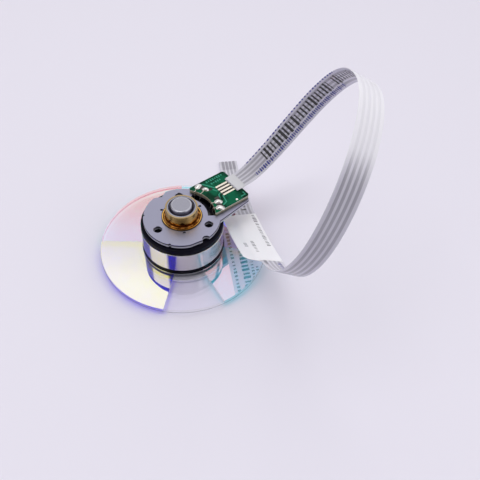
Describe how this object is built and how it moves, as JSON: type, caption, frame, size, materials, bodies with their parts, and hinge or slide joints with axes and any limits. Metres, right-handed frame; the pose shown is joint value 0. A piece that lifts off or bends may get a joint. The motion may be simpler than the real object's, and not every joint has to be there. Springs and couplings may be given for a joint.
{
  "type": "projector color wheel",
  "caption": "Ring of bonded color glass segments on a small flat outer-rotor motor, with a stamped mounting arm, circuit board and looped flat ribbon cable.",
  "frame": {"origin": "on the wheel's axis, at the outer face of the clamp cap, which rests on the table", "axes": "+Z along the wheel's axis from the glass to the mounting plate; the arm points 40.5 degrees from +X towards +Y"},
  "size_m": [0.0578, 0.0604, 0.0533],
  "materials": {
    "steel_plate": "stamped, satin",
    "zinc_steel": "plated, satin",
    "rotor_metal": "drawn and polished",
    "black_composite": "moulded, fine grain",
    "magnet_black": "bonded ferrite",
    "brass": "turned",
    "bearing_bronze": "sintered",
    "shaft_steel": "ground",
    "cap_steel": "pressed",
    "thrust_plastic": "moulded",
    "core_steel": "laminated",
    "insulator_plastic": "moulded",
    "copper": "enamelled wire",
    "cover_plastic": "moulded",
    "hub_aluminium": "turned",
    "clamp_aluminium": "turned",
    "board_green": "solder resist",
    "glue": "cured film",
    "solder": "reflowed",
    "tinned_copper": "tinned",
    "tape_film": "film",
    "cable_film": "white film over flat conductors",
    "label_film": "white film",
    "stiffener_film": "stiff film",
    "contact_metal": "plated",
    "glass_cyan": "dichroic coated, polished",
    "glass_yellow": "dichroic coated, polished",
    "glass_red": "dichroic coated, polished",
    "glass_green": "dichroic coated, polished",
    "glass_blue": "dichroic coated, polished",
    "glass_clear": "anti-reflection coated, polished"
  },
  "bodies": {
    "root": {"base_plate": "steel_plate", "bearing_housing": "brass", "housing_cap": "cap_steel", "sleeve_bearing": "bearing_bronze", "thrust_pad": "thrust_plastic", "stator_core": "core_steel", "lower_insulator": "insulator_plastic", "upper_insulator": "insulator_plastic", "stator_coils": "copper", "winding_cover": "cover_plastic", "circuit_board": "board_green", "board_adhesive": "glue", "solder_joints": "solder", "phase_wires": "copper", "soldered_conductors": "tinned_copper", "joint_tape": "tape_film", "ribbon_cable": "cable_film", "cable_label": "label_film", "end_stiffener": "stiffener_film", "end_contacts": "contact_metal"},
    "wheel": {"clamp_cap": "clamp_aluminium", "filter_cyan": "glass_cyan", "filter_yellow": "glass_yellow", "filter_red": "glass_red", "filter_green": "glass_green", "filter_blue": "glass_blue", "filter_clear": "glass_clear", "hub_flange": "hub_aluminium", "spacer_ring": "black_composite", "rotor_can": "rotor_metal", "ring_magnet": "magnet_black", "end_ring": "black_composite", "motor_shaft": "shaft_steel", "retaining_washer": "thrust_plastic"}
  },
  "joints": [
    {"name": "wheel_spin", "type": "hinge", "parent": "root", "child": "wheel", "pos_m": [0, 0, 0.0085], "axis": [0, 0, 1], "continuous": true}
  ]
}
